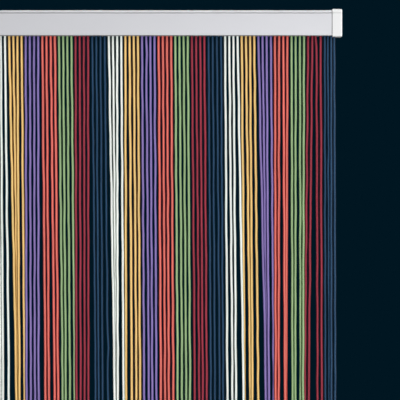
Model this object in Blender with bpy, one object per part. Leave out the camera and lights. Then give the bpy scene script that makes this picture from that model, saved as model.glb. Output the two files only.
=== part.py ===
"""A string curtain on its rail, for a doorway.

Cords in seven colours hang in bands of four from short heading strips, and the
strips lie in the lower slot of a slim aluminium rail. A moulded cap closes each
end of the rail, whose flat back has two keyholes for screws in the wall.

Metres. +Z is up, the front of the curtain looks along -Y, and the origin is at
the centre of the rail's back face.
"""

from collections import namedtuple

import bmesh
import bpy
import numpy as np

MM = 0.001

# Overall size, over the end caps and down to the longest cord
CURTAIN_WIDTH = 900 * MM
CURTAIN_HEIGHT = 2000 * MM
SEAT_GAP = 0.3 * MM

# Aluminium rail: a box section that is open below, between two inward lips
RAIL_HEIGHT = 28 * MM
RAIL_DEPTH = 12 * MM
RAIL_WALL = 1.2 * MM
SLOT_WIDTH = 6.4 * MM
BEAD_RADIUS = 1.25 * MM
BEAD_HEIGHT = 2.5 * MM
GROOVE_WIDTH = 0.8 * MM
GROOVE_DEPTH = 0.5 * MM
FOOT_RADIUS = 1.0 * MM
ARC_STEPS = 4

# Keyholes in the rail's back wall
KEYHOLE_OFFSET = 350 * MM
KEYHOLE_RADIUS = 4.5 * MM
KEYHOLE_SLOT_RADIUS = 2.4 * MM
KEYHOLE_SLOT_RISE = 8 * MM
KEYHOLE_STEPS = 16
SHARP_ANGLE = 35

# Moulded end caps
CAP_LENGTH = 10.7 * MM
CAP_WALL = 1.8 * MM
CAP_SKIRT = 0.9 * MM
CAP_ROUNDING = 1.8 * MM
CAP_CHAMFER = 0.5 * MM
CAP_GROOVE_DEPTH = 0.3 * MM
SPIGOT_LENGTH = 8 * MM
NOTCH_MARGIN = 0.6 * MM

# Heading strips, one for each band of cords
STRIP_HEIGHT = 5 * MM

# Cords
CORD_DIAMETER = 3.05 * MM
CORDS_PER_BAND = 4
BAND_REPEATS = 7
EDGE_TO_LAST_CORD = 8.5 * MM
SQUEEZED_GAPS = 3
SQUEEZE = 0.75
ROOT_DEPTH = 2.5 * MM
UNEVEN_ENDS = 4 * MM
UNEVEN_SHAPE = (1.2, 2.0)

# Distances below the heading at which a cord may bend
BEND_LEVELS = (0.20, 0.39, 0.80, 1.20, 1.60)

# Lean of the cords: how far they have moved sideways at this distance down
LEAN_AT = 0.39
LEAN_POWER = 1.3
LEAN_RATE = 1.1
LEAN_LIMIT = 1.25

# Slow wander of the lower part, sideways and in depth. Its waves are from the
# first to the second length, and each is blurred over some neighbours.
WANDER = 2.2 * MM
SWAY = 0.8 * MM
WANDER_FROM = 0.39
WAVE_LENGTHS = (0.8, 1.4)
WANDER_SPREAD = 5
DEPTH_HINT = 0.15 * MM

# Least distances between the centre lines of cords
CLEAR_DISTANCE = CORD_DIAMETER + 0.6 * MM
LEAST_STEP = 0.8 * MM
RELAX_ROUNDS = 60
SEED = 34

# Colour of each band from the left, then over again, as sRGB
COLOURS = (
    ("white", (0.93, 0.95, 0.94)),
    ("yellow", (0.92, 0.69, 0.36)),
    ("purple", (0.47, 0.38, 0.66)),
    ("orange", (0.88, 0.33, 0.25)),
    ("green", (0.49, 0.62, 0.40)),
    ("crimson", (0.58, 0.16, 0.23)),
    ("navy", (0.13, 0.23, 0.34)),
)
RAIL_COLOUR = (0.85, 0.85, 0.87)
CAP_COLOUR = (0.95, 0.95, 0.94)

# The last bands at the right: the lean of each band's four cords in mm, and
# whether each hangs in front (+) or behind (-) where it overlaps a neighbour
Leans = namedtuple("Leans", "first second third fourth depth")
LEANS = (
    Leans(3.5, 2.6, 4.4, 3.6, "+-+-"),
    Leans(4.0, 2.9, 2.9, 3.4, "+-+-"),
    Leans(1.1, 1.1, 1.0, 0.5, "+-+-"),
    Leans(3.7, 2.5, 2.3, 3.6, "+-+-"),
    Leans(6.4, 3.4, 0.6, 2.5, "+-++"),
    Leans(0.7, 2.5, 2.9, 2.4, "-+-+"),
    Leans(2.3, 2.9, 2.1, 2.1, "+-+-"),
    Leans(2.5, 2.5, 2.1, 2.4, "+-+-"),
    Leans(2.6, 2.9, 2.8, 2.6, "+-+-"),
    Leans(3.2, 3.5, 2.8, 2.6, "+-+-"),
    Leans(2.5, 2.5, 3.1, 2.4, "+-+-"),
    Leans(2.5, 3.5, 2.8, 6.4, "+-++"),
    Leans(3.1, 4.8, 2.6, 4.3, "--+-"),
    Leans(8.0, 5.1, 2.0, 3.2, "+-+-"),
    Leans(0.7, -0.5, 1.9, -1.3, "+-+-"),
    Leans(1.0, -0.4, 0.9, -1.2, "+--+"),
    Leans(-3.5, -3.8, 1.2, 1.2, "-+-+"),
    Leans(0.5, 1.5, 0.2, 1.1, "+-+-"),
)

# Sizes that follow from the ones above
BANDS = len(COLOURS) * BAND_REPEATS
CORDS = BANDS * CORDS_PER_BAND
HALF_WIDTH = CURTAIN_WIDTH / 2
RAIL_END = HALF_WIDTH - CAP_WALL - SEAT_GAP
RAIL_TOP = RAIL_HEIGHT / 2
CAP_PROUD = CAP_SKIRT + SEAT_GAP
CAP_TOP = RAIL_TOP + CAP_PROUD
CORD_Y = -RAIL_DEPTH / 2
STRIP_BOTTOM = -RAIL_TOP + RAIL_WALL + SEAT_GAP
STRIP_TOP = STRIP_BOTTOM + STRIP_HEIGHT
STRIP_HALF_DEPTH = RAIL_DEPTH / 2 - RAIL_WALL - SEAT_GAP
CORD_FOOT = CAP_TOP - CURTAIN_HEIGHT
CORD_DROP = STRIP_BOTTOM - CORD_FOOT


def clear_scene():
    for obj in list(bpy.data.objects):
        bpy.data.objects.remove(obj, do_unlink=True)


def linear(srgb):
    """The linear value of each sRGB channel."""
    values = np.array(srgb)
    low = values / 12.92
    high = ((values + 0.055) / 1.055) ** 2.4
    return tuple(np.where(values <= 0.04045, low, high))


def make_material(name, srgb, roughness, metallic=0.0):
    material = bpy.data.materials.new(name)
    material.use_nodes = True
    shader = material.node_tree.nodes["Principled BSDF"]
    shader.inputs["Base Color"].default_value = (*linear(srgb), 1.0)
    shader.inputs["Roughness"].default_value = roughness
    shader.inputs["Metallic"].default_value = metallic
    material.diffuse_color = (*linear(srgb), 1.0)
    return material


def add_object(name, mesh, material=None, parent=None):
    obj = bpy.data.objects.new(name, mesh)
    bpy.context.scene.collection.objects.link(obj)
    if material:
        mesh.materials.append(material)
    obj.parent = parent
    return obj


def mesh_from_bmesh(name, bm):
    mesh = bpy.data.meshes.new(name)
    bmesh.ops.recalc_face_normals(bm, faces=bm.faces)
    bm.to_mesh(mesh)
    bm.free()
    mesh.shade_smooth()
    mesh.set_sharp_from_angle(angle=np.radians(SHARP_ANGLE))
    return mesh


def box_bmesh(low, high):
    """A box between two corners, whichever way round they are given."""
    low, high = np.minimum(low, high), np.maximum(low, high)
    bm = bmesh.new()
    bmesh.ops.create_cube(bm, size=1.0)
    bmesh.ops.scale(bm, vec=high - low, verts=bm.verts)
    bmesh.ops.translate(bm, vec=(low + high) / 2, verts=bm.verts)
    return bm


def extrude_outline(outline, along):
    """A closed outline, as points in space, carried along one vector."""
    bm = bmesh.new()
    face = bm.faces.new([bm.verts.new(point) for point in outline])
    grown = bmesh.ops.extrude_face_region(bm, geom=[face])
    moved = [part for part in grown["geom"] if isinstance(part, bmesh.types.BMVert)]
    bmesh.ops.translate(bm, vec=along, verts=moved)
    return bm


def join_or_cut(obj, operation, helper):
    """Joins a hidden helper to an object, or cuts it out."""
    helper.hide_render = True
    helper.display_type = "WIRE"
    modifier = obj.modifiers.new(helper.name, "BOOLEAN")
    modifier.operation = operation
    modifier.solver = "EXACT"
    modifier.object = helper


def arc(centre, radius, start, end, steps=ARC_STEPS):
    """Points on an arc, with its angles in degrees."""
    angles = np.radians(np.linspace(start, end, steps + 1))
    return [
        (centre[0] + radius * np.cos(a), centre[1] + radius * np.sin(a)) for a in angles
    ]


def rail_profile():
    """The rail's section as (y, z): round the outside from the back, then back
    round the inside. The front has a bead along its top edge over a groove."""
    front = -RAIL_DEPTH
    top = RAIL_TOP
    groove_top = top - BEAD_HEIGHT
    groove_foot = groove_top - GROOVE_WIDTH
    slot_back = CORD_Y + SLOT_WIDTH / 2
    slot_front = CORD_Y - SLOT_WIDTH / 2
    inner_back = -RAIL_WALL
    inner_front = front + RAIL_WALL
    inner_top = top - RAIL_WALL
    lip_top = -top + RAIL_WALL
    outside = [(slot_back, -top), (0, -top), (0, top)]
    outside += arc((front + BEAD_RADIUS, top - BEAD_RADIUS), BEAD_RADIUS, 90, 180)
    outside += [
        (front, groove_top),
        (front + GROOVE_DEPTH, groove_top - GROOVE_WIDTH / 4),
        (front + GROOVE_DEPTH, groove_foot + GROOVE_WIDTH / 4),
        (front, groove_foot),
    ]
    outside += arc((front + FOOT_RADIUS, -top + FOOT_RADIUS), FOOT_RADIUS, 180, 270)
    inside = [
        (slot_front, -top),
        (slot_front, lip_top),
        (inner_front, lip_top),
        (inner_front, inner_top),
        (inner_back, inner_top),
        (inner_back, lip_top),
        (slot_back, lip_top),
    ]
    return outside + inside


def keyhole_outline(x):
    """A round hole with a narrower slot above it, as points behind the rail."""
    lean = np.degrees(np.arcsin(KEYHOLE_SLOT_RADIUS / KEYHOLE_RADIUS))
    hole = arc((0, 0), KEYHOLE_RADIUS, 90 + lean, 450 - lean, KEYHOLE_STEPS)
    end = arc((0, KEYHOLE_SLOT_RISE), KEYHOLE_SLOT_RADIUS, 0, 180, KEYHOLE_STEPS // 2)
    return [(x + across, RAIL_WALL, up) for across, up in hole + end]


def build_rail(parent):
    material = make_material("rail_aluminium", RAIL_COLOUR, 0.38, 0.9)
    outline = [(-RAIL_END, y, z) for y, z in rail_profile()]
    bm = extrude_outline(outline, (2 * RAIL_END, 0, 0))
    rail = add_object("rail", mesh_from_bmesh("rail", bm), material, parent)
    for side, word in ((-1, "left"), (1, "right")):
        bm = extrude_outline(keyhole_outline(side * KEYHOLE_OFFSET), (0, -3 * RAIL_WALL, 0))
        name = "keyhole_" + word
        join_or_cut(rail, "DIFFERENCE", add_object(name, mesh_from_bmesh(name, bm)))


def cord_top_places():
    """Where the cords leave the heading, from left to right. Their spacing is
    even but for the last gaps at each end, which the caps squeeze."""
    gaps = np.ones(CORDS - 1)
    gaps[:SQUEEZED_GAPS] = SQUEEZE
    gaps[-SQUEEZED_GAPS:] = SQUEEZE
    gaps *= (CURTAIN_WIDTH - 2 * EDGE_TO_LAST_CORD) / gaps.sum()
    return np.concatenate([[0], np.cumsum(gaps)]) - HALF_WIDTH + EDGE_TO_LAST_CORD


def lean_rows(random):
    """The rows of LEANS for every band: the listed ones at the right, and the
    same rows in shuffled orders for the bands to their left."""
    orders = [random.permutation(len(LEANS)) for _ in range(BANDS // len(LEANS) + 1)]
    others = np.concatenate(orders)[: BANDS - len(LEANS)]
    return [LEANS[i] for i in others] + list(LEANS)


def keep_in_order(places):
    """Moves places right until neighbours are LEAST_STEP apart and every other
    cord is a clear distance apart. Each pass takes the running maximum of the
    places less the distance that they have to keep."""
    for _ in range(3):
        for first, stride, step in (
            (0, 1, LEAST_STEP),
            (0, 2, CLEAR_DISTANCE),
            (1, 2, CLEAR_DISTANCE),
        ):
            part = places[:, first::stride]
            spread = step * np.arange(part.shape[1])
            places[:, first::stride] = (
                np.maximum.accumulate(part - spread, axis=1) + spread
            )
    return places


def part_in_depth(places, depths, order):
    """Moves neighbours that overlap from the front apart in depth, until their
    centre lines are a clear distance apart. The one whose sign is - goes back,
    and of two with the same sign the right one does."""
    way = np.sign(order[1:] - order[:-1])
    way[way == 0] = 1
    across = places[:, 1:] - places[:, :-1]
    need = np.sqrt(np.maximum(CLEAR_DISTANCE**2 - across**2, 0))
    for _ in range(RELAX_ROUNDS):
        room = (depths[:, 1:] - depths[:, :-1]) * way
        short = np.where(need > 0, np.maximum(need - room, 0), 0) * way / 2
        depths[:, 1:] += short
        depths[:, :-1] -= short
    return depths


def cord_points(levels):
    """The centre lines: x and y of every cord at each distance down, as two
    arrays of levels by cords. A cord leans away from its place at the top as
    tanh of the distance down, and wanders slowly in its lower part."""
    random = np.random.default_rng(SEED)
    rows = lean_rows(random)
    leans = np.array([row[:CORDS_PER_BAND] for row in rows]).ravel() * MM
    signs = "".join(row.depth for row in rows)
    order = np.array([-1.0 if sign == "+" else 1.0 for sign in signs])
    down = np.array(levels)[:, None]
    growth = LEAN_LIMIT * np.tanh(LEAN_RATE * (down / LEAN_AT) ** LEAN_POWER)
    depth_growth = np.clip(down / LEAN_AT, 0, 1)
    fade = np.clip((down - WANDER_FROM) / (CORD_DROP - WANDER_FROM), 0, 1)
    blur = np.hanning(WANDER_SPREAD + 2)[1:-1]
    blur /= np.sqrt((blur**2).sum())
    wave_lengths = random.uniform(*WAVE_LENGTHS, CORDS)
    starts = random.uniform(0, 2 * np.pi, CORDS)
    swing = np.sin(2 * np.pi * down / wave_lengths + starts)
    swing = np.array([np.convolve(row, blur, mode="same") for row in swing])
    places = cord_top_places() + leans * growth + WANDER * fade * swing
    reach = HALF_WIDTH - CORD_DIAMETER / 2 - SEAT_GAP
    places = np.clip(keep_in_order(places), -reach, reach)
    depths = CORD_Y + SWAY * fade * np.roll(swing, CORDS // 3, axis=1)
    depths = depths + order * DEPTH_HINT * depth_growth
    return places, part_in_depth(places, depths, order)


def cords_mesh(name, places, depths, heights):
    """Four-sided cords: rings of four corners at each level, with the sides
    and both ends closed. The arrays are levels by cords."""
    radius = CORD_DIAMETER / 2
    corners = np.array([(radius, 0), (0, radius), (-radius, 0), (0, -radius)])
    levels, cords = places.shape
    sides = len(corners)
    points = np.empty((cords, levels, sides, 3))
    points[..., 0] = places.T[:, :, None] + corners[:, 0]
    points[..., 1] = depths.T[:, :, None] + corners[:, 1]
    points[..., 2] = heights.T[:, :, None]
    index = np.arange(points[..., 0].size).reshape(cords, levels, sides)
    turned = np.roll(index, -1, axis=2)
    walls = np.stack(
        [index[:, :-1], index[:, 1:], turned[:, 1:], turned[:, :-1]], axis=-1
    )
    ends = np.concatenate([index[:, 0], index[:, -1, ::-1]])
    faces = np.concatenate([walls.reshape(-1, sides), ends])
    mesh = bpy.data.meshes.new(name)
    mesh.from_pydata(points.reshape(-1, 3).tolist(), [], faces.tolist())
    mesh.update()
    return mesh


def build_cords(parent):
    """Each band of cords, with its heading strip joined to the cords' roots."""
    materials = [make_material("cord_" + name, srgb, 0.7) for name, srgb in COLOURS]
    levels = (0.0, *BEND_LEVELS, CORD_DROP)
    places, depths = cord_points(levels)
    heights = np.repeat(STRIP_BOTTOM - np.array(levels)[:, None], CORDS, axis=1)
    heights[0] += ROOT_DEPTH
    random = np.random.default_rng(SEED + 1)
    heights[-1] += UNEVEN_ENDS * random.beta(*UNEVEN_SHAPE, CORDS)
    heights[-1, CORDS // 2] = CORD_FOOT
    middles = (places[0, 1:] + places[0, :-1]) / 2
    half_pitch = (places[0, 1] - places[0, 0]) / 2
    edges = np.concatenate(
        [[places[0, 0] - half_pitch], middles, [places[0, -1] + half_pitch]]
    )
    for band in range(BANDS):
        first = band * CORDS_PER_BAND
        last = first + CORDS_PER_BAND
        colour = band % len(COLOURS)
        name = f"cords_{band + 1:02d}_{COLOURS[colour][0]}"
        own = slice(first, last)
        mesh = cords_mesh(name, places[:, own], depths[:, own], heights[:, own])
        cords = add_object(name, mesh, materials[colour], parent)
        low = (edges[first] + SEAT_GAP / 2, CORD_Y - STRIP_HALF_DEPTH, STRIP_BOTTOM)
        high = (edges[last] - SEAT_GAP / 2, CORD_Y + STRIP_HALF_DEPTH, STRIP_TOP)
        strip_name = f"strip_{band + 1:02d}"
        strip = add_object(strip_name, mesh_from_bmesh(strip_name, box_bmesh(low, high)))
        join_or_cut(cords, "UNION", strip)


def near(value, target):
    return abs(value - target) < 0.01 * MM


def cap_body(side):
    """The cap's outer block. Its outer end is rounded at the front, top and
    bottom, and its inner end has a small chamfer there."""
    outer, inner = side * HALF_WIDTH, side * (HALF_WIDTH - CAP_LENGTH)
    front = -RAIL_DEPTH - CAP_PROUD
    bm = box_bmesh((inner, front, -CAP_TOP), (outer, 0, CAP_TOP))
    for end, width, steps in ((outer, CAP_ROUNDING, 3), (inner, CAP_CHAMFER, 1)):
        edges = [
            edge
            for edge in bm.edges
            if all(near(vert.co.x, end) for vert in edge.verts)
            and not all(near(vert.co.y, 0) for vert in edge.verts)
        ]
        bmesh.ops.bevel(
            bm, geom=edges, offset=width, segments=steps, profile=0.5, affect="EDGES"
        )
    return bm


def build_end_cap(side, word, last_cord, material, parent):
    """A cap is a rounded block, hollowed for the rail, with a spigot in the
    rail's chamber and a notch below for the last cord."""
    name = "end_cap_" + word
    mesh = mesh_from_bmesh(name, cap_body(side))
    cap = add_object(name, mesh, material, parent)
    front = -RAIL_DEPTH - CAP_PROUD
    inner = side * (HALF_WIDTH - CAP_LENGTH)
    hollow_top = RAIL_TOP + SEAT_GAP
    notch_end = abs(last_cord) + CORD_DIAMETER / 2 + NOTCH_MARGIN
    chamber_front = -RAIL_DEPTH + RAIL_WALL + SEAT_GAP
    groove_top = RAIL_TOP - BEAD_HEIGHT
    chamber_back = -RAIL_WALL - SEAT_GAP
    chamber_top = RAIL_TOP - RAIL_WALL - SEAT_GAP
    spigot_end = HALF_WIDTH - CAP_WALL - SPIGOT_LENGTH
    past = 2 * MM
    pieces = (
        (
            "hollow",
            "DIFFERENCE",
            (inner - side * past, front + CAP_SKIRT, -hollow_top),
            (side * (HALF_WIDTH - CAP_WALL), past, hollow_top),
        ),
        (
            "notch",
            "DIFFERENCE",
            (inner - side * past, CORD_Y - SLOT_WIDTH / 2, -CAP_TOP - past),
            (side * notch_end, CORD_Y + SLOT_WIDTH / 2, -RAIL_TOP),
        ),
        (
            "groove",
            "DIFFERENCE",
            (inner - side * past, front - past, groove_top - GROOVE_WIDTH),
            (side * (HALF_WIDTH - CAP_ROUNDING), front + CAP_GROOVE_DEPTH, groove_top),
        ),
        (
            "spigot",
            "UNION",
            (side * spigot_end, chamber_front, STRIP_TOP + SEAT_GAP),
            (side * (HALF_WIDTH - CAP_WALL / 2), chamber_back, chamber_top),
        ),
    )
    for part, operation, low, high in pieces:
        helper_name = f"{part}_{word}"
        helper_mesh = mesh_from_bmesh(helper_name, box_bmesh(low, high))
        join_or_cut(cap, operation, add_object(helper_name, helper_mesh))


def main():
    clear_scene()
    hanger = bpy.data.objects.new("curtain", None)
    bpy.context.scene.collection.objects.link(hanger)
    build_rail(hanger)
    build_cords(hanger)
    last_cord = cord_top_places()[-1]
    plastic = make_material("cap_plastic", CAP_COLOUR, 0.35)
    for side, word in ((-1, "left"), (1, "right")):
        build_end_cap(side, word, last_cord, plastic, hanger)


main()
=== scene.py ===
"""Looks of a string curtain on its rail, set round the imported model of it.

Seven colours of braided cord hang in bands of four from short heading strips.
The strips lie in the lower slot of a slim anodised rail with moulded end caps.
Metres, +Z up, and the front of the curtain looks along -Y.
"""

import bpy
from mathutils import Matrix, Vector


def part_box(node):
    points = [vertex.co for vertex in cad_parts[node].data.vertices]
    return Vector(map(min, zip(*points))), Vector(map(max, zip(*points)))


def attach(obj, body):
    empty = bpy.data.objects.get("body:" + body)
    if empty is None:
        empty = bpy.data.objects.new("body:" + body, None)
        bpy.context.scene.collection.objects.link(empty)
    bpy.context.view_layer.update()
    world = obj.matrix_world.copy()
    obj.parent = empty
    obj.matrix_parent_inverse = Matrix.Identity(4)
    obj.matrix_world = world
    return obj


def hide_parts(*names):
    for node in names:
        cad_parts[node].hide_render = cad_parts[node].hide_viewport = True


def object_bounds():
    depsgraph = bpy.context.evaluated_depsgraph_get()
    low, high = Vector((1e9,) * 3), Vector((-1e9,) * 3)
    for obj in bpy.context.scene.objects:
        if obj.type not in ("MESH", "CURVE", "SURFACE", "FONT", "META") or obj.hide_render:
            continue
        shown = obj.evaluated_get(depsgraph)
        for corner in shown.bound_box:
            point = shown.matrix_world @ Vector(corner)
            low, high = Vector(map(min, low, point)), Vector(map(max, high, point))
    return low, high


bl_info = {
    "name": "String Curtain",
    "version": (1, 0, 0),
    "blender": (4, 5, 0),
    "location": "3D View > Sidebar > Curtain",
    "description": "Builds a string curtain of coloured cords on its rail, in a small studio",
    "category": "Add Mesh",
}

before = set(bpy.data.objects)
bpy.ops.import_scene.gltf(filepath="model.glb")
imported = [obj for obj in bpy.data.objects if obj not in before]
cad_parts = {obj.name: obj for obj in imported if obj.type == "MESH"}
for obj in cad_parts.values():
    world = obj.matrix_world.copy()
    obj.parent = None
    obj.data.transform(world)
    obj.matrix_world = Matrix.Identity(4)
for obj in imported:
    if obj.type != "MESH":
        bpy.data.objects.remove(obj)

from collections import namedtuple
from functools import partial

import bmesh
import bpy
import numpy as np
from bpy.props import FloatProperty, FloatVectorProperty, IntProperty, PointerProperty
from mathutils import Vector

CAD_LOW, CAD_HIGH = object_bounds()
RAIL_LOW, RAIL_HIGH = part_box("rail")
BODY = "root"
MM = 0.001

# How far the box of a piece may be off the box of its solid
FIT_MARGIN = 1.5 * MM

# Sizes of the rail's chamber, slot, bead and groove and of the heading strips
SEAT_GAP = 0.3 * MM
RAIL_WALL = 1.2 * MM
SLOT_WIDTH = 6.4 * MM
BEAD_HEIGHT = 2.5 * MM
GROOVE_WIDTH = 0.8 * MM
GROOVE_DEPTH = 0.5 * MM
STRIP_HEIGHT = 5 * MM
STRIP_ROUNDING = 0.6 * MM
ROOT_DEPTH = 2.5 * MM

# Keyholes in the rail's back wall
KEYHOLE_OFFSET = 350 * MM
KEYHOLE_RADIUS = 4.5 * MM
KEYHOLE_SLOT_RADIUS = 2.4 * MM
KEYHOLE_SLOT_RISE = 8 * MM
KEYHOLE_STEPS = 48

# Moulded end caps, and how far the blocks that cut them stand out of them
CAP_GROOVE_DEPTH = 0.3 * MM
SPIGOT_LENGTH = 8 * MM
NOTCH_MARGIN = 0.6 * MM
CUT_MARGIN = 2 * MM

# Places of the cords at the heading, where the caps squeeze the outer gaps
CORD_DIAMETER = 3.05 * MM
CORDS_PER_BAND = 4
BAND_REPEATS = 7
EDGE_TO_LAST_CORD = 8.5 * MM
SQUEEZED_GAPS = 3
SQUEEZE = 0.75

# How far a cord may be cut short, and the beta distribution that this follows
UNEVEN_ENDS = 4 * MM
UNEVEN_SHAPE = (1.2, 2.0)

# Route of the cords: the distances below the heading at which one may bend, and
# the growth of the lean, which reaches its listed size at LEAN_AT
BEND_LEVELS = (0.20, 0.39, 0.80, 1.20, 1.60)
LEAN_AT = 0.39
LEAN_POWER = 1.3
LEAN_RATE = 1.1
LEAN_LIMIT = 1.25

# Slow wander of the lower part: its size sideways and in depth, the distance
# down at which it sets in, its wave lengths, and how many neighbours share it
WANDER = 2.2 * MM
SWAY = 0.8 * MM
WANDER_FROM = 0.39
WAVE_LENGTHS = (0.8, 1.4)
WANDER_SPREAD = 5

# Neighbours: the depth that a cord's sign gives it, the distance at which centre
# lines are clear, the least step sideways, and the rounds that set them so
DEPTH_HINT = 0.15 * MM
CLEAR_DISTANCE = CORD_DIAMETER + 0.6 * MM
LEAST_STEP = 0.8 * MM
ORDER_ROUNDS = 3
RELAX_ROUNDS = 60

# Seed of the random draws
SEED = 34

# Lean of the last bands at the right: sideways in mm for each of the four
# cords, and whether each hangs in front (+) or behind (-) of its neighbours
Leans = namedtuple("Leans", "first second third fourth depth")
LEANS = (
    Leans(3.5, 2.6, 4.4, 3.6, "+-+-"),
    Leans(4.0, 2.9, 2.9, 3.4, "+-+-"),
    Leans(1.1, 1.1, 1.0, 0.5, "+-+-"),
    Leans(3.7, 2.5, 2.3, 3.6, "+-+-"),
    Leans(6.4, 3.4, 0.6, 2.5, "+-++"),
    Leans(0.7, 2.5, 2.9, 2.4, "-+-+"),
    Leans(2.3, 2.9, 2.1, 2.1, "+-+-"),
    Leans(2.5, 2.5, 2.1, 2.4, "+-+-"),
    Leans(2.6, 2.9, 2.8, 2.6, "+-+-"),
    Leans(3.2, 3.5, 2.8, 2.6, "+-+-"),
    Leans(2.5, 2.5, 3.1, 2.4, "+-+-"),
    Leans(2.5, 3.5, 2.8, 6.4, "+-++"),
    Leans(3.1, 4.8, 2.6, 4.3, "--+-"),
    Leans(8.0, 5.1, 2.0, 3.2, "+-+-"),
    Leans(0.7, -0.5, 1.9, -1.3, "+-+-"),
    Leans(1.0, -0.4, 0.9, -1.2, "+--+"),
    Leans(-3.5, -3.8, 1.2, 1.2, "-+-+"),
    Leans(0.5, 1.5, 0.2, 1.1, "+-+-"),
)

# Small kinks: band and cord counted from one, distance below the heading, the
# sideways shift there and the length over which it dies away, in mm
Kink = namedtuple("Kink", "band cord down shift spread")
KINKS = (
    Kink(48, 3, 0, -1.3, 9),
    Kink(49, 2, 126, 0.6, 12),
    Kink(38, 2, 20, 0.6, 10),
    Kink(35, 4, 344, 0.7, 10),
)

# Short waves of a cord: their least and greatest length, the share of each in
# the sum, the length over which they set in, the gap that they leave between
# cords, and the least and greatest length of the waves in a cord's girth
SHORT_WAVES = (0.035, 0.150)
WAVE_SHARES = (0.45, 0.33, 0.22)
WAVES_FROM = 0.04
ROOM_MARGIN = 0.08 * MM
GIRTH_WAVES = (0.020, 0.070)

# Cut end of a cord, ring by ring: drop in mm below the last full ring, and girth
TipRing = namedtuple("TipRing", "drop girth")
TIP_RINGS = (TipRing(0.35, 0.93), TipRing(0.6, 0.7), TipRing(0.7, 0.35))

# Braid: the yarns that cross round a cord, the distance in diameters over which
# their crossings repeat, the tone of the painted shade in the grooves and the
# height at which it ends, the height of the fuzz on humps of 1, and the tones
# between which a cord drifts
CARRIERS = 8
BRAID_LAY = 0.8
BRAID_GROOVE_SHADE = 0.86
GROOVE_END = 0.5
FUZZ_HEIGHT = 0.35
DRIFT_TONES = (0.95, 1.05)

# Roughness of the yarn from its least to its most, and what the flanks add
YARN_ROUGHNESS = (0.52, 0.68)
FLANK_ROUGHNESS = 0.4

# Scales of the yarn's fuzz and of the slow drifts, and the range of most noise
FUZZ_SCALE = 1400.0
YARN_DRIFT_SCALE = 22.0
HARD_DRIFT_SCALE = 9.0
NOISE_RANGE = (0.3, 0.7)

# Where the painted shade on a cord's flank begins and ends on the scale from 0
# (front or back) to 1 (facing the next cord), the power that deepens its colour
# there, and the shares of red, green and blue in how bright a colour looks
FLANK_FROM = 0.06
FLANK_TO = 0.6
FLANK_POWER = 2.1
LUMINANCE = (0.2126, 0.7152, 0.0722)

# Least angle in degrees at a sharp edge, and the steps of the arcs that round
# the rail and the caps' ends, the strips, and the small edges of the caps
SHARP_ANGLE = 50
ARC_STEPS = 8
STRIP_ARC_STEPS = 4
EDGE_STEPS = 2

# How far the painted underside shade reaches up the front, how far the caps'
# painted shadow reaches along the rail, and where the groove's painted shade fades
UNDERSIDE_SHADE = 1.4 * MM
JOINT_SHADE = 1.6 * MM
GROOVE_SHADE_BLUR = 0.1 * MM

# Kinds of a node group's sockets by how many numbers one holds, the defaults of
# a colour and a place, and what the group of a whole surface puts out
SOCKET_KINDS = {1: "NodeSocketFloat", 3: "NodeSocketVector", 4: "NodeSocketColor"}
GREY = (0.8, 0.8, 0.8, 1.0)
ORIGIN = (0.0, 0.0, 0.0)
SURFACE = {"Color": GREY, "Roughness": 0.5, "Height": 0.0}

# The two ends of the rail, by the sign of X
RAIL_ENDS = ((-1, "left"), (1, "right"))

# Middle of the photographed part, as x and z
PICTURE_MIDDLE = (294.2 * MM, -193.9 * MM)

# Sizes that follow from the ones above and from the frame
BAND_COLOURS = ("white", "yellow", "purple", "orange", "green", "crimson", "navy")
BANDS = len(BAND_COLOURS) * BAND_REPEATS
CORDS = BANDS * CORDS_PER_BAND
HALF_WIDTH = CAD_HIGH.x
RAIL_TOP = RAIL_HIGH.z
RAIL_FRONT = RAIL_LOW.y
CORD_Y = RAIL_FRONT / 2
GROOVE_TOP = RAIL_TOP - BEAD_HEIGHT
GROOVE_FOOT = GROOVE_TOP - GROOVE_WIDTH
SLOT_FRONT = CORD_Y - SLOT_WIDTH / 2
SLOT_BACK = CORD_Y + SLOT_WIDTH / 2
CHAMBER_FRONT = RAIL_FRONT + RAIL_WALL
CHAMBER_TOP = RAIL_TOP - RAIL_WALL
STRIP_BOTTOM = SEAT_GAP - CHAMBER_TOP
STRIP_TOP = STRIP_BOTTOM + STRIP_HEIGHT
STRIP_HALF_DEPTH = -CORD_Y - RAIL_WALL - SEAT_GAP
CORD_DROP = STRIP_BOTTOM - CAD_LOW.z


def linear(*srgb):
    """The linear value of each sRGB channel from 0 to 255: a straight line
    near black, and a power of 2.4 above it."""
    values = np.array(srgb) / 255
    low = values / 12.92
    high = ((values + 0.055) / 1.055) ** 2.4
    return tuple(np.where(values <= 0.04045, low, high))


def colour_property(name, description, *srgb):
    colour = linear(*srgb)
    return FloatVectorProperty(
        name=name, description=description, subtype="COLOR", default=colour, min=0.0, max=1.0
    )


def cord_colour(name, *srgb):
    return colour_property(name, f"Colour of the {name.lower()} cords", *srgb)


def length_property(name, description, default):
    return FloatProperty(
        name=name, description=description, unit="LENGTH", default=default, min=0.0, precision=5
    )


def share_property(name, description, default):
    return FloatProperty(
        name=name, description=description, subtype="FACTOR", default=default, min=0.0, max=1.0
    )


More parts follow.
